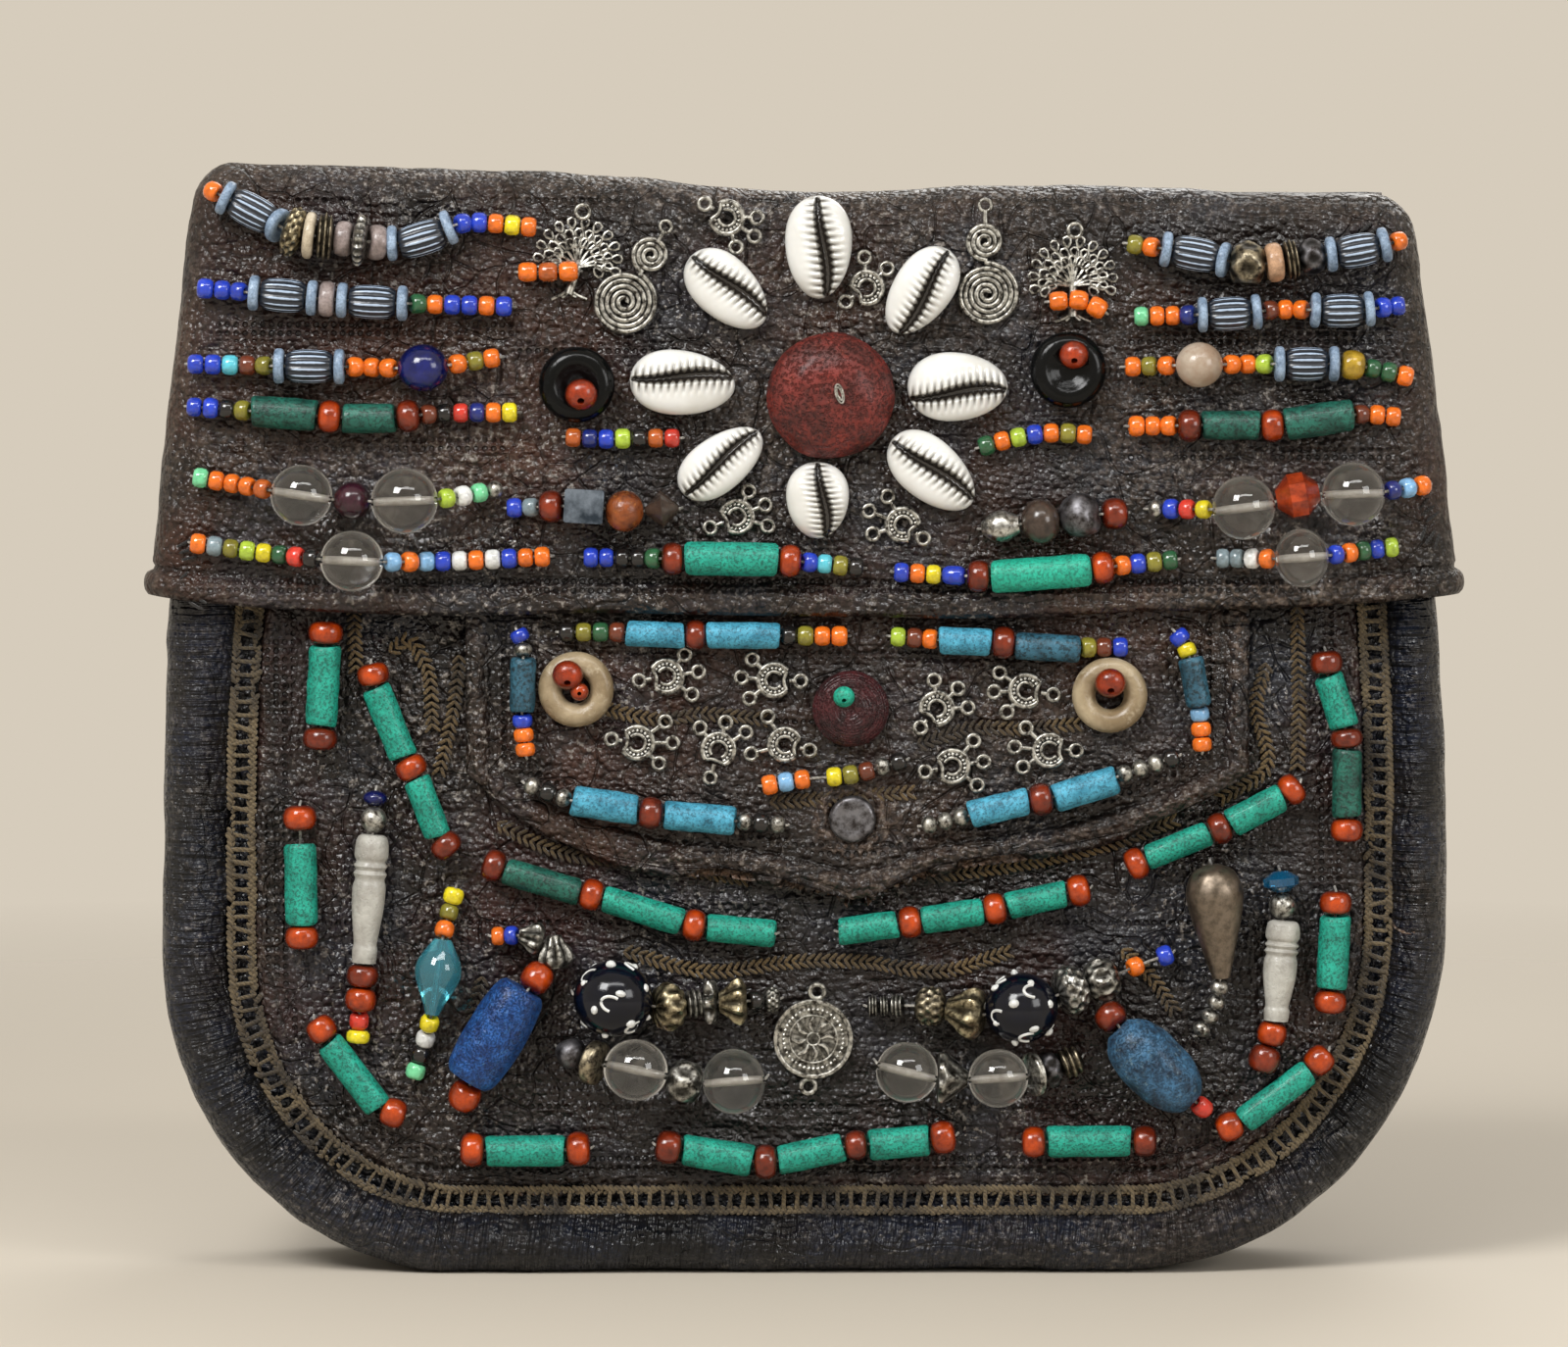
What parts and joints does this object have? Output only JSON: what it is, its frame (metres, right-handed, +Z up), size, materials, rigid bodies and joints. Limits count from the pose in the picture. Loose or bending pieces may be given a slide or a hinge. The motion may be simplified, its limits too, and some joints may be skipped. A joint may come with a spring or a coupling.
{
  "type": "leather shoulder bag",
  "caption": "Small dark leather bag with a boxed front flap, a front pocket with its own pointed flap, and strung beads, shells and charms over the front.",
  "frame": {"origin": "middle of the bounding box at floor level", "axes": "+Z up, the flap and its beadwork face -Y, +X to the right seen from the front"},
  "size_m": [0.2682, 0.074, 0.2279],
  "materials": {
    "leather": "worn, semi-matt",
    "cord": "braided cord",
    "glass": "opaque glass",
    "quartz": "clear, polished",
    "shell": "glossy shell",
    "stone": "polished stone",
    "black": "glossy",
    "horn": "polished horn",
    "silver": "old silver, dark in its recesses"
  },
  "bodies": {
    "bag": {"back_panel": "leather", "border_roll": "leather", "centre_row_1": "silver", "centre_row_2": "quartz", "centre_row_3": "silver", "centre_row_4": "quartz", "coin_connector": "silver", "drop_1": "shell", "drop_2": "glass", "drop_3": "stone", "drop_4": "silver", "drop_5": "shell", "drop_6": "stone", "edge_braid": "cord", "front_wall": "leather", "horn_ring_left": "horn", "horn_ring_right": "horn", "maroon_button": "stone", "pocket_panel": "leather", "side_gusset": "leather", "snap_cap": "silver", "snap_stud": "silver", "strap_loop_left": "leather", "strap_loop_right": "leather", "under_flap": "leather"},
    "flap": {"big_bead_row_left": "glass", "big_bead_row_right": "glass", "black_disc_left": "black", "black_disc_right": "black", "cowrie_bottom": "shell", "cowrie_left": "shell", "cowrie_lower_left": "shell", "cowrie_lower_right": "shell", "cowrie_right": "shell", "cowrie_top": "shell", "cowrie_upper_left": "shell", "cowrie_upper_right": "shell", "dome_button": "stone", "flap": "leather", "flap_row_left_1": "glass", "flap_row_left_2": "glass", "flap_row_left_3": "glass", "flap_row_left_4": "glass", "flap_row_left_5": "glass", "flap_row_left_6": "glass", "flap_row_right_1": "glass", "flap_row_right_2": "glass", "flap_row_right_3": "glass", "flap_row_right_4": "glass", "flap_row_right_5": "glass", "flap_row_right_6": "glass", "spiral_charm_left": "silver", "spiral_charm_right": "silver", "tree_charm_left": "silver", "tree_charm_right": "silver", "tube_row_left": "glass", "tube_row_right": "glass"}
  },
  "joints": [
    {"name": "flap_hinge", "type": "hinge", "parent": "bag", "child": "flap", "pos_m": [0, 0.02727, 0.221], "axis": [-1, 0, 0], "range_deg": [0, 180]}
  ]
}
